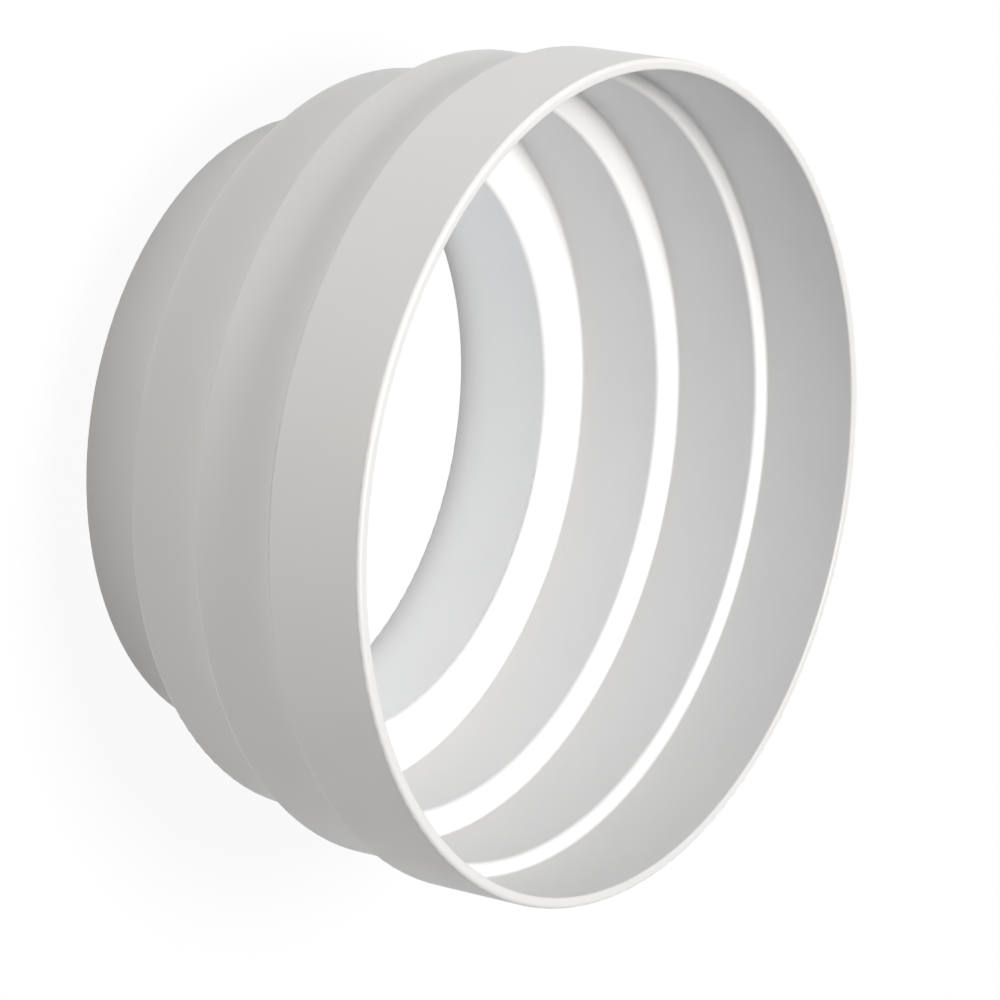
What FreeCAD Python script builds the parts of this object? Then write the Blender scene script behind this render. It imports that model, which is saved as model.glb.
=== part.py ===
# Stepped round duct reducer, one injection-moulded piece, all sizes in millimetres.
# The duct axis is Z. The origin is the centre of the small end's face, and the large
# socket opens upward, so the part stands on its small end.
# Seen from the top it is a socket, then a large, a medium and a small spigot, each
# joined to the next by a narrow shoulder that falls a little toward the axis.

import FreeCAD, Part
import Sketcher
import os

NODE = "reducer_body"

# Driving dimensions, each a cell of the spreadsheet: alias, value, what it is.
DIMENSIONS = [
    ("small_spigot_diameter", 123.5, "outside diameter of the spigot for a 125 duct"),
    ("low_shoulder_width", 12.0, "small spigot's outside to the medium one's, 147.5 for a 150 duct"),
    ("middle_shoulder_width", 6.0, "medium spigot's outside to the large one's, 159.5 for a 160 duct"),
    ("socket_clearance", 1.7, "socket's bore less the large spigot, 161.2 over a 160 pipe"),
    ("small_step_height", 20.5, "small end up to the lowest outer corner"),
    ("medium_step_height", 20.1, "lowest outer corner up to the middle one"),
    ("large_step_height", 19.7, "middle outer corner up to the highest one"),
    ("socket_step_height", 22.2, "highest outer corner up to the rim"),
    ("wall_thickness", 2.3, "thickness of a round wall at its thicker end"),
    ("shoulder_thickness", 1.8, "thickness of a shoulder"),
    ("low_shoulder_fall", 0.7, "drop of the lowest shoulder from its outer to its inner side"),
    ("middle_shoulder_fall", 1.1, "drop of the middle shoulder"),
    ("high_shoulder_fall", 0.65, "drop of the highest shoulder"),
    ("draft_angle", 0.5, "taper in degrees of the wall faces that meet no duct"),
    ("rim_round", 1.0, "radius on the outer edge of the rim"),
    ("mouth_round", 0.5, "radius on the inner edge of the rim"),
    ("outer_corner_round", 1.2, "radius on the outer corners of the steps"),
    ("outer_root_round", 2.0, "radius where an outer wall meets the shoulder above it"),
    ("inner_corner_round", 0.8, "radius on the inner edge of a shoulder"),
    ("inner_root_round", 0.6, "radius where an inner wall meets the shoulder below it"),
    ("end_round", 0.4, "radius on both edges of the small end"),
]

# Lines of the wall's half section, up the outside, over the rim and down the inside.
# low, middle and high are the three shoulders; the other names are walls.
LINES = [
    "small_out", "low_out", "medium_out", "middle_out", "large_out", "high_out",
    "socket_out", "rim", "socket_in", "high_in", "large_in", "middle_in", "medium_in",
    "low_in", "small_in", "small_end",
]

# Which corners are rounded: the line that runs up to the corner, and the radius.
ROUNDED = [
    ("small_out", "outer_root_round"),
    ("low_out", "outer_corner_round"),
    ("medium_out", "outer_root_round"),
    ("middle_out", "outer_corner_round"),
    ("large_out", "outer_root_round"),
    ("high_out", "outer_corner_round"),
    ("socket_out", "rim_round"),
    ("rim", "mouth_round"),
    ("socket_in", "inner_root_round"),
    ("high_in", "inner_corner_round"),
    ("large_in", "inner_root_round"),
    ("middle_in", "inner_corner_round"),
    ("medium_in", "inner_root_round"),
    ("low_in", "inner_corner_round"),
    ("small_in", "end_round"),
    ("small_end", "end_round"),
]

# Radius of each round wall that meets a duct, worked out from the sheet.
RADII = {"small": "Dimensions.small_spigot_diameter / 2"}
RADII["medium"] = RADII["small"] + " + Dimensions.low_shoulder_width"
RADII["large"] = RADII["medium"] + " + Dimensions.middle_shoulder_width"
RADII["bore"] = RADII["large"] + " + Dimensions.socket_clearance / 2"


def fill_sheet(doc):
    """Writes every driving dimension into the spreadsheet and names its cell."""
    sheet = doc.addObject("Spreadsheet::Sheet", "Dimensions")
    for row, (alias, value, note) in enumerate(DIMENSIONS, start=1):
        sheet.set(f"A{row}", alias)
        sheet.set(f"B{row}", str(value))
        sheet.set(f"C{row}", note)
        sheet.setAlias(f"B{row}", alias)
    doc.recompute()


def origin_plane(body, role):
    """The body's own origin plane of this role."""
    return next(f for f in body.Origin.OriginFeatures if f.Role == role)


def profile_corners(size):
    """Where each line of the half section starts, as (radius, height), before the taper."""
    small = size["small_spigot_diameter"] / 2
    medium = small + size["low_shoulder_width"]
    large = medium + size["middle_shoulder_width"]
    bore = large + size["socket_clearance"] / 2
    wall = size["wall_thickness"]
    plate = size["shoulder_thickness"]
    low = size["small_step_height"]
    middle = low + size["medium_step_height"]
    high = middle + size["large_step_height"]
    top = high + size["socket_step_height"]
    outside = [
        (small, 0),
        (small, low - size["low_shoulder_fall"]),
        (medium, low),
        (medium, middle - size["middle_shoulder_fall"]),
        (large, middle),
        (large, high - size["high_shoulder_fall"]),
        (bore + wall, high),
        (bore + wall, top),
    ]
    inside = [
        (bore, top),
        (bore, high + plate),
        (large - wall, high + plate - size["high_shoulder_fall"]),
        (large - wall, middle + plate),
        (medium - wall, middle + plate - size["middle_shoulder_fall"]),
        (medium - wall, low + plate),
        (small - wall, low + plate - size["low_shoulder_fall"]),
        (small - wall, 0),
    ]
    return outside + inside


def tie(sketch, name, constraint, expression):
    """Adds a constraint under this name and lets the spreadsheet drive it."""
    index = sketch.addConstraint(constraint)
    sketch.renameConstraint(index, name)
    sketch.setExpression("Constraints." + name, expression)


def tie_radius(sketch, name, line, point, expression):
    """Ties the distance of a line's start (1) or end (2) from the duct axis."""
    number = LINES.index(line)
    drawn = sketch.getPoint(number, point).x
    # -1, 1 is the sketch's origin
    constraint = Sketcher.Constraint("DistanceX", -1, 1, number, point, drawn)
    tie(sketch, name, constraint, expression)


def tie_height(sketch, name, line, point, expression):
    """Ties the height of a line's start (1) or end (2) above the small end."""
    number = LINES.index(line)
    drawn = sketch.getPoint(number, point).y
    constraint = Sketcher.Constraint("DistanceY", -1, 1, number, point, drawn)
    tie(sketch, name, constraint, expression)


def draw_lines(sketch, size):
    """Draws the closed outline and fixes the direction of its lines."""
    corners = [FreeCAD.Vector(r, z, 0) for r, z in profile_corners(size)]
    count = len(corners)
    for i in range(count):
        sketch.addGeometry(Part.LineSegment(corners[i], corners[(i + 1) % count]))
    for i in range(count):
        following = (i + 1) % count
        # the end (2) of each line meets the start (1) of the next
        sketch.addConstraint(Sketcher.Constraint("Coincident", i, 2, following, 1))
    for line in ("small_out", "medium_out", "large_out", "socket_in"):
        sketch.addConstraint(Sketcher.Constraint("Vertical", LINES.index(line)))
    for line in ("rim", "small_end"):
        sketch.addConstraint(Sketcher.Constraint("Horizontal", LINES.index(line)))
    # the small end's face lies on the sketch's horizontal axis (-1)
    first = LINES.index("small_out")
    sketch.addConstraint(Sketcher.Constraint("PointOnObject", first, 1, -1))


def tie_outside(sketch):
    """Radii of the outer walls and heights of the shoulders' outer faces."""
    for step in ("small", "medium", "large"):
        tie_radius(sketch, step.capitalize() + "Radius", step + "_out", 1, RADII[step])
    tie_radius(sketch, "RimRadius", "rim", 1, RADII["bore"] + " + Dimensions.wall_thickness")
    corner = "0"
    for shoulder, step in (("low", "small"), ("middle", "medium"), ("high", "large")):
        corner = corner + f" + Dimensions.{step}_step_height"
        root = corner + f" - Dimensions.{shoulder}_shoulder_fall"
        line = shoulder + "_out"
        tie_height(sketch, shoulder.capitalize() + "Root", line, 1, root)
        tie_height(sketch, shoulder.capitalize() + "Corner", line, 2, corner)
    top = corner + " + Dimensions.socket_step_height"
    tie_height(sketch, "Top", "rim", 1, top)


def tie_inside(sketch, size):
    """Radii of the inner walls, and shoulders that keep their thickness."""
    tie_radius(sketch, "BoreRadius", "socket_in", 1, RADII["bore"])
    for step in ("large", "medium", "small"):
        inner = RADII[step] + " - Dimensions.wall_thickness"
        tie_radius(sketch, step.capitalize() + "Inner", step + "_in", 2, inner)
    for shoulder in ("low", "middle", "high"):
        inner = LINES.index(shoulder + "_in")
        outer = LINES.index(shoulder + "_out")
        sketch.addConstraint(Sketcher.Constraint("Parallel", inner, outer))
        apart = Sketcher.Constraint("Distance", inner, 1, outer, size["shoulder_thickness"])
        tie(sketch, shoulder.capitalize() + "Plate", apart, "Dimensions.shoulder_thickness")


def tie_taper(sketch, size):
    """Slopes the tapered walls, all wider toward the rim."""
    upward = FreeCAD.Units.Quantity(f"{90 - size['draft_angle']} deg")
    downward = FreeCAD.Units.Quantity(f"{-90 - size['draft_angle']} deg")
    rising = Sketcher.Constraint("Angle", LINES.index("socket_out"), upward)
    tie(sketch, "SocketTaper", rising, "90 deg - Dimensions.draft_angle * 1 deg")
    for wall in ("large", "medium", "small"):
        falling = Sketcher.Constraint("Angle", LINES.index(wall + "_in"), downward)
        tie(sketch, wall.capitalize() + "Taper", falling, "-90 deg - Dimensions.draft_angle * 1 deg")


def round_corners(sketch, size):
    """Rounds the outline's corners, keeping each sharp corner as a point for its sizes."""
    for line, alias in ROUNDED:
        arc = sketch.GeometryCount
        # rounds the line's end (2), with its sharp corner kept
        sketch.fillet(LINES.index(line), 2, size[alias], True, True)
        name = "".join(word.capitalize() for word in line.split("_")) + "Round"
        rounding = Sketcher.Constraint("Radius", arc, size[alias])
        tie(sketch, name, rounding, "Dimensions." + alias)


def draw_profile(body, size):
    """Half section of the wall in the XZ plane, every size of it tied to the sheet."""
    sketch = body.newObject("Sketcher::SketchObject", "WallProfile")
    sketch.AttachmentSupport = [(origin_plane(body, "XZ_Plane"), "")]
    sketch.MapMode = "FlatFace"
    draw_lines(sketch, size)
    tie_outside(sketch)
    tie_inside(sketch, size)
    tie_taper(sketch, size)
    # the taper and the shoulders settle before the corners are rounded
    body.Document.recompute()
    round_corners(sketch, size)
    body.Document.recompute()
    if not sketch.FullyConstrained:
        raise RuntimeError("the wall's half section is not fully constrained")
    return sketch


def build_reducer(doc, size):
    """The whole reducer: the wall's half section turned once around the duct axis."""
    body = doc.addObject("PartDesign::Body", "Reducer")
    body.Label = NODE
    body.Placement = FreeCAD.Placement()
    sketch = draw_profile(body, size)
    wall = body.newObject("PartDesign::Revolution", "TurnedWall")
    wall.Profile = sketch
    wall.ReferenceAxis = (sketch, ["V_Axis"])
    wall.Angle = 360
    doc.recompute()
    return body


def check_document(doc):
    """Stops the run when an object of the document failed or has a bad shape."""
    for obj in doc.Objects:
        if "Invalid" in obj.State or "Error" in obj.State:
            raise RuntimeError(f"{obj.Name} failed: {obj.State}")
        if obj.isDerivedFrom("PartDesign::Feature") or obj.isDerivedFrom("PartDesign::Body"):
            if obj.Shape.isNull() or not obj.Shape.isValid():
                raise RuntimeError(f"{obj.Name} has a bad shape")


def main():
    size = {alias: value for alias, value, note in DIMENSIONS}
    doc = FreeCAD.newDocument("DuctReducer")
    fill_sheet(doc)
    body = build_reducer(doc, size)
    check_document(doc)
    if len(body.Shape.Solids) != 1:
        raise RuntimeError("the reducer is not one solid")
    os.makedirs("parts", exist_ok=True)
    body.Shape.exportStep(os.path.join("parts", NODE + ".step"))
    box = body.Shape.optimalBoundingBox()
    print(NODE, round(box.XLength, 2), round(box.YLength, 2), round(box.ZLength, 2))
    print("volume", round(body.Shape.Volume / 1000, 2), "cm3")


main()
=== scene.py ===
# Stepped duct reducer, one white ABS moulding standing on its small end.
# The camera is rolled, so that the duct axis lies across the picture.

import math

import bmesh
import bpy
from mathutils import Euler, Matrix, Vector


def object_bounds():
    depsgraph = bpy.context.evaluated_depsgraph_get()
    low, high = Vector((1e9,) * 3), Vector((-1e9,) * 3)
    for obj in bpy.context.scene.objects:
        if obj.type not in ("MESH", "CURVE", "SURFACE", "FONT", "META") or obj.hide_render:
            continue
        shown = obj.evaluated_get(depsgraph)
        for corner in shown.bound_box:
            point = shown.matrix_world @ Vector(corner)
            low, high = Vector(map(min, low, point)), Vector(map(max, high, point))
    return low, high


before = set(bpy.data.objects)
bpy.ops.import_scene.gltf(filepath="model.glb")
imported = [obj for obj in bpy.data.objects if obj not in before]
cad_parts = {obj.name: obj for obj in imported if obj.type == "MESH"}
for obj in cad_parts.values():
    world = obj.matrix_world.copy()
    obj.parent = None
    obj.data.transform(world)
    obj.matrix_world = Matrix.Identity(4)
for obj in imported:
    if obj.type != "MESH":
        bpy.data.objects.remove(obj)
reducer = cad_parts["reducer_body"]
frameBox = [list(corner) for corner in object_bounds()]
print("frame: reducer loaded")


def linearColour(hexText):
    # sRGB hex to the linear colour that shaders take
    parts = [int(hexText[i:i + 2], 16) / 255 for i in (1, 3, 5)]
    return [c / 12.92 if c <= 0.04045 else ((c + 0.055) / 1.055) ** 2.4 for c in parts] + [1.0]


def addNode(tree, kind, settings=None, inputs=None):
    # one node with its settings; an input takes a value or another node's output
    node = tree.nodes.new(kind)
    for name, value in (settings or {}).items():
        setattr(node, name, value)
    for socket, value in (inputs or {}).items():
        if isinstance(value, bpy.types.NodeSocket):
            tree.links.new(value, node.inputs[socket])
        else:
            node.inputs[socket].default_value = value
    return node


def emptyMaterial(name):
    material = bpy.data.materials.new(name)
    material.use_nodes = True
    material.node_tree.nodes.clear()
    return material, material.node_tree


# The moulding: white ABS from a polished tool. It looks clean and satin-bright, with
# soft-edged reflections that break up a little where the plastic shrank as it cooled.
absLook = {
    "white": "#F1F1F1",
    "shade": "#EBEBEC",        # where the melt met cooler steel
    "roughness": (0.36, 0.46),
    "ior": 1.53,               # ABS
    "patchMm": 38,             # clouding across one wall
    "patchDetail": 3.0,
    "glossMm": 9,              # patches of better and worse polish
    "glossDetail": 4.0,
    "glossSpread": (0.3, 0.7),
    "sinkMm": 16,              # slow waviness left by shrinking
    "sinkDetail": 1.0,
    "sinkDepthMm": 0.03,
    "grainMm": 0.9,            # tool finish, drawn coarser than its real 0.1 mm to show
    "grainDetail": 2.0,
    "grainDepthMm": 0.004,
}

# The steps as built, in mm. Each shoulder, from the small end up, widens the outside,
# stands so far above the one before, and falls so much toward the axis.
moulding = {"smallOutside": 61.75, "wall": 2.3, "socketBore": 80.6, "plate": 1.8, "taper": 0.17}
shoulders = (
    {"width": 12.0, "above": 20.5, "fall": 0.7},
    {"width": 6.0, "above": 20.1, "fall": 1.1},
    {"width": 2.96, "above": 19.7, "fall": 0.65},
)
edges = {"corner": 1.2, "root": 2.0, "innerCorner": 0.8, "innerRoot": 0.6, "rim": 1.0,
         "mouth": 0.5, "end": 0.4}

# Which spots count as lying on a rounding, as distances from its centre in its own sizes:
# a long facet cuts across it, as deep as three tenths. Below "steep" a facet is a wall.
roundMatch = {"middle": 0.85, "reach": 0.25, "steep": 0.5}


def endRounds():
    # the roundings of the two open ends: centre (radius, height), size, which quarter of
    # the round it is, and 1 where it bulges or -1 where it is hollow
    wide, top = frameBox[1][0] * 1000, frameBox[1][2] * 1000
    rim, mouth, end = edges["rim"], edges["mouth"], edges["end"]
    narrow = moulding["smallOutside"]
    yield (wide - rim, top - rim), rim, (1, 1), 1
    yield (moulding["socketBore"] + mouth, top - mouth), mouth, (-1, 1), 1
    yield (narrow - end, end), end, (1, -1), 1
    yield (narrow - moulding["wall"] + end, end), end, (-1, -1), 1


def shoulderRounds():
    # four roundings on each shoulder, told in the same way
    corner, root = edges["corner"], edges["root"]
    innerCorner, innerRoot = edges["innerCorner"], edges["innerRoot"]
    plate = moulding["plate"]
    lower, height = moulding["smallOutside"], 0.0
    for shoulder in shoulders:
        upper = lower + shoulder["width"]
        height += shoulder["above"]
        bore = moulding["socketBore"] if shoulder is shoulders[-1] else upper - moulding["wall"]
        lowerBore = lower - moulding["wall"] + moulding["taper"]
        slope = shoulder["fall"] / shoulder["width"]
        lean = math.sqrt(1 + slope * slope)
        for radius, lift, size, quarter, bulge in (
                (upper - corner, corner, corner, (1, -1), 1),
                (lower + root, -root, root, (-1, 1), -1),
                (lowerBore + innerCorner, plate - innerCorner, innerCorner, (-1, 1), 1),
                (bore - innerRoot, plate + innerRoot, innerRoot, (1, -1), -1)):
            yield (radius, height - slope * (upper - radius) + lift * lean), size, quarter, bulge
        lower = upper


def addMath(tree, operation, first, second=0.0, third=0.0):
    return addNode(tree, "ShaderNodeMath", {"operation": operation}, {
        0: first, 1: second, 2: third}).outputs[0]


def addVector(tree, operation, first, second=(0, 0, 0), third=(0, 0, 0)):
    node = addNode(tree, "ShaderNodeVectorMath", {"operation": operation}, {0: first, 1: second})
    if operation == "MULTIPLY_ADD":
        node.inputs[2].default_value = third
    return node.outputs["Value" if operation in ("DOT_PRODUCT", "LENGTH") else "Vector"]


def turnedNormal(tree):
    # The part is a turned body. Its walls and shoulders are straight, so their normal is
    # the facet's with no share along the turn, and on a rounding it points along the line
    # from the centre. Each edge then carries one thin, unbroken line of light.
    place = addNode(tree, "ShaderNodeTexCoord").outputs["Object"]
    facet = addNode(tree, "ShaderNodeVectorTransform", {
        "vector_type": "NORMAL", "convert_from": "WORLD", "convert_to": "OBJECT"}, {
        "Vector": addNode(tree, "ShaderNodeNewGeometry").outputs["True Normal"]}).outputs["Vector"]
    outward = addVector(tree, "NORMALIZE", addVector(tree, "MULTIPLY", place, (1, 1, 0)))
    height = addNode(tree, "ShaderNodeSeparateXYZ", inputs={0: place}).outputs["Z"]
    spot = addNode(tree, "ShaderNodeCombineXYZ", inputs={
        0: addVector(tree, "DOT_PRODUCT", place, outward), 1: height}).outputs[0]
    rise = addNode(tree, "ShaderNodeSeparateXYZ", inputs={0: facet}).outputs["Z"]
    # a wall faces straight out, so its facets' small tilts go, and a shoulder keeps its fall
    steep = addMath(tree, "GREATER_THAN", addMath(tree, "ABSOLUTE", rise), roundMatch["steep"])
    rise = addMath(tree, "MULTIPLY", rise, steep)
    facing = addNode(tree, "ShaderNodeCombineXYZ", inputs={
        0: addVector(tree, "DOT_PRODUCT", facet, outward), 1: rise}).outputs[0]
    for (across, up), size, (side, end), bulge in [*endRounds(), *shoulderRounds()]:
        # in sizes of the round, from its centre toward its own quarter
        away = addVector(tree, "MULTIPLY_ADD", spot, (side * 1000 / size, end * 1000 / size, 0),
                         (-side * across / size, -end * up / size, 0))
        parts = addNode(tree, "ShaderNodeSeparateXYZ", inputs={0: away}).outputs
        inside = addMath(tree, "GREATER_THAN", addMath(tree, "MINIMUM", parts["X"], parts["Y"]), 0.0)
        reach = addVector(tree, "LENGTH", away)
        near = addMath(tree, "COMPARE", reach, roundMatch["middle"], roundMatch["reach"])
        rounded = addVector(tree, "MULTIPLY", addVector(tree, "NORMALIZE", away),
                            (side * bulge, end * bulge, 0))
        chosen = addNode(tree, "ShaderNodeMix", {"data_type": "VECTOR"}, {
            0: addMath(tree, "MULTIPLY", inside, near)})
        tree.links.new(facing, chosen.inputs[4])
        tree.links.new(rounded, chosen.inputs[5])
        facing = chosen.outputs[1]
    shares = addNode(tree, "ShaderNodeSeparateXYZ", inputs={0: facing}).outputs
    level = addNode(tree, "ShaderNodeVectorMath", {"operation": "SCALE"}, {
        0: outward, "Scale": shares["X"]}).outputs[0]
    upright = addNode(tree, "ShaderNodeCombineXYZ", inputs={2: shares["Y"]}).outputs[0]
    even = addVector(tree, "NORMALIZE", addVector(tree, "ADD", level, upright))
    return addNode(tree, "ShaderNodeVectorTransform", {
        "vector_type": "NORMAL", "convert_from": "OBJECT", "convert_to": "WORLD"}, {
        "Vector": even}).outputs["Vector"]


def mouldedAbs(look):
    material, tree = emptyMaterial("whiteMouldedAbs")
    place = addNode(tree, "ShaderNodeTexCoord").outputs["Object"]
    cloud = addNode(tree, "ShaderNodeTexNoise", inputs={
        "Vector": place, "Scale": 1000 / look["patchMm"], "Detail": look["patchDetail"],
        "Roughness": 0.5})
    tone = addNode(tree, "ShaderNodeMix", {"data_type": "RGBA"}, {
        "Factor": cloud.outputs["Fac"]})
    tone.inputs[6].default_value = linearColour(look["white"])
    tone.inputs[7].default_value = linearColour(look["shade"])
    polish = addNode(tree, "ShaderNodeTexNoise", inputs={
        "Vector": place, "Scale": 1000 / look["glossMm"], "Detail": look["glossDetail"]})
    gloss = addNode(tree, "ShaderNodeMapRange", inputs={
        "Value": polish.outputs["Fac"],
        "From Min": look["glossSpread"][0], "From Max": look["glossSpread"][1],
        "To Min": look["roughness"][0], "To Max": look["roughness"][1]})
    sink = addNode(tree, "ShaderNodeTexNoise", inputs={
        "Vector": place, "Scale": 1000 / look["sinkMm"], "Detail": look["sinkDetail"]})
    sunk = addNode(tree, "ShaderNodeBump", inputs={
        "Height": sink.outputs["Fac"], "Distance": look["sinkDepthMm"] / 1000,
        "Strength": 1.0, "Normal": turnedNormal(tree)})
    grain = addNode(tree, "ShaderNodeTexNoise", inputs={
        "Vector": place, "Scale": 1000 / look["grainMm"], "Detail": look["grainDetail"]})
    grained = addNode(tree, "ShaderNodeBump", inputs={
        "Height": grain.outputs["Fac"], "Distance": look["grainDepthMm"] / 1000,
        "Strength": 1.0, "Normal": sunk.outputs["Normal"]})
    plastic = addNode(tree, "ShaderNodeBsdfPrincipled", inputs={
        "Base Color": tone.outputs[2], "Roughness": gloss.outputs["Result"],
        "IOR": look["ior"], "Normal": grained.outputs["Normal"]})
    addNode(tree, "ShaderNodeOutputMaterial", inputs={"Surface": plastic.outputs["BSDF"]})
    return material


whiteAbs = mouldedAbs(absLook)
for slotIndex in range(len(reducer.material_slots)):
    reducer.material_slots[slotIndex].material = whiteAbs
print("reducer: moulded white ABS")


# The floor is a pale sweep. The camera and reflections see it near white with a faint
# shadow; what it throws back onto the plastic is that of a mid grey board.
floorLook = {
    "halfWidth": 4.0,
    "paper": "#FAFAFA",
    "glow": 0.93,              # share of the white that no shadow darkens
    "board": "#969696",
}


def paleSweep(look):
    material, tree = emptyMaterial("paleSweep")
    rays = addNode(tree, "ShaderNodeLightPath").outputs
    seen = addNode(tree, "ShaderNodeMath", {"operation": "MAXIMUM"}, {
        0: rays["Is Camera Ray"], 1: rays["Is Glossy Ray"]})
    seen = addNode(tree, "ShaderNodeMath", {"operation": "MAXIMUM"}, {
        0: seen.outputs[0], 1: rays["Is Transmission Ray"]})
    white = addNode(tree, "ShaderNodeEmission", inputs={"Color": (1, 1, 1, 1), "Strength": 1.0})
    paper = addNode(tree, "ShaderNodeBsdfDiffuse", inputs={"Color": linearColour(look["paper"])})
    board = addNode(tree, "ShaderNodeBsdfDiffuse", inputs={"Color": linearColour(look["board"])})
    bright = addNode(tree, "ShaderNodeMixShader", inputs={
        0: look["glow"], 1: paper.outputs[0], 2: white.outputs[0]})
    shown = addNode(tree, "ShaderNodeMixShader", inputs={
        0: seen.outputs[0], 1: board.outputs[0], 2: bright.outputs[0]})
    addNode(tree, "ShaderNodeOutputMaterial", inputs={"Surface": shown.outputs[0]})
    return material


floorMesh = bpy.data.meshes.new("floor")
shape = bmesh.new()
bmesh.ops.create_grid(shape, x_segments=1, y_segments=1, size=floorLook["halfWidth"])
shape.to_mesh(floorMesh)
shape.free()
floor = bpy.data.objects.new("floor", floorMesh)
floor.data.materials.append(paleSweep(floorLook))
bpy.context.scene.collection.objects.link(floor)
print("floor: pale sweep")


# Studio light: a dim even room, a wide key almost over the mouth, low strips around the
# part that stay under its rim, and light through the small end, which is open below.
roomLook = {"strength": 0.08, "aimHeight": 0.045}
stripSize = (1.0, 0.07)
softboxes = {
    "key": {"at": (-0.42, -0.42, 3.0), "size": (0.9, 0.9), "watts": 93.0, "tint": "#FFFDFA"},
    "frontStrip": {"at": (0, -0.9, 0.04), "size": stripSize, "watts": 2.2, "tint": "#FFFAF4"},
    "leftStrip": {"at": (-0.9, 0, 0.04), "size": stripSize, "watts": 2.5, "tint": "#FFFFFF"},
    "rightStrip": {"at": (0.64, -0.64, 0.04), "size": stripSize, "watts": 0.2, "tint": "#FFF8F2"},
    "backStrip": {"at": (0, 0.9, 0.04), "size": stripSize, "watts": 1.2, "tint": "#FFFFFF"},
    "farStrip": {"at": (0.9, 0.3, 0.04), "size": stripSize, "watts": 1.0, "tint": "#FFFFFF"},
}
throughLight = {"radius": 0.055, "height": 0.0005, "watts": 0.021, "tint": "#F8FCFF"}


def aimAt(position, target):
    turn = (target - position).to_track_quat("-Z", "Y").to_matrix().to_4x4()
    return Matrix.Translation(position) @ turn


def addLamp(name, shape, size, watts, tint, placed):
    lamp = bpy.data.lights.new(name, "AREA")
    lamp.shape = shape
    lamp.size = size[0]
    lamp.size_y = size[1]
    lamp.energy = watts
    lamp.color = linearColour(tint)[:3]
    holder = bpy.data.objects.new(name, lamp)
    holder.matrix_world = placed
    holder.visible_camera = False
    bpy.context.scene.collection.objects.link(holder)


world = bpy.data.worlds.new("room")
bpy.context.scene.world = world
world.use_nodes = True
world.node_tree.nodes.clear()
rays = addNode(world.node_tree, "ShaderNodeLightPath").outputs
seen = addNode(world.node_tree, "ShaderNodeMath", {"operation": "MAXIMUM"}, {
    0: rays["Is Camera Ray"], 1: rays["Is Transmission Ray"]})
level = addNode(world.node_tree, "ShaderNodeMapRange", inputs={
    "Value": seen.outputs[0], "To Min": roomLook["strength"], "To Max": 1.0})
room = addNode(world.node_tree, "ShaderNodeBackground", inputs={
    "Color": (1, 1, 1, 1), "Strength": level.outputs[0]})
addNode(world.node_tree, "ShaderNodeOutputWorld", inputs={"Surface": room.outputs[0]})

for name, box in softboxes.items():
    position = Vector(box["at"])
    target = Vector((0, 0, min(position.z, roomLook["aimHeight"])))
    addLamp(name, "RECTANGLE", box["size"], box["watts"], box["tint"], aimAt(position, target))
facingUp = Matrix.Translation((0, 0, throughLight["height"])) @ Matrix.Rotation(math.pi, 4, "X")
addLamp("through", "DISK", (throughLight["radius"] * 2, 0.0), throughLight["watts"],
        throughLight["tint"], facingUp)
print("light: room,", len(softboxes), "softboxes and the light through the small end")


# The camera looks down past the rim, rolled so that the wide end is at the right.
cameraView = {
    "elevation": 34.84,
    "roll": 100.68,
    "distance": 1.4165,         # from the middle of the rim
    "aside": (-0.02324, -0.00269),
    "focalMm": 264.69,
    "sensorMm": 36.0,
    "rimHeight": 0.0825,
}

lens = bpy.data.cameras.new("studio")
lens.lens = cameraView["focalMm"]
lens.sensor_width = cameraView["sensorMm"]
camera = bpy.data.objects.new("studio", lens)
turn = Euler((math.radians(90 - cameraView["elevation"]), 0, 0)).to_matrix().to_4x4()
turn = turn @ Matrix.Rotation(math.radians(cameraView["roll"]), 4, "Z")
offset = turn @ Vector((cameraView["aside"][0], cameraView["aside"][1], cameraView["distance"]))
camera.matrix_world = Matrix.Translation(Vector((0, 0, cameraView["rimHeight"])) + offset) @ turn
bpy.context.scene.collection.objects.link(camera)
bpy.context.scene.camera = camera
bpy.context.scene.view_settings.view_transform = "Standard"
print("camera: placed")

bpy.context.view_layer.update()
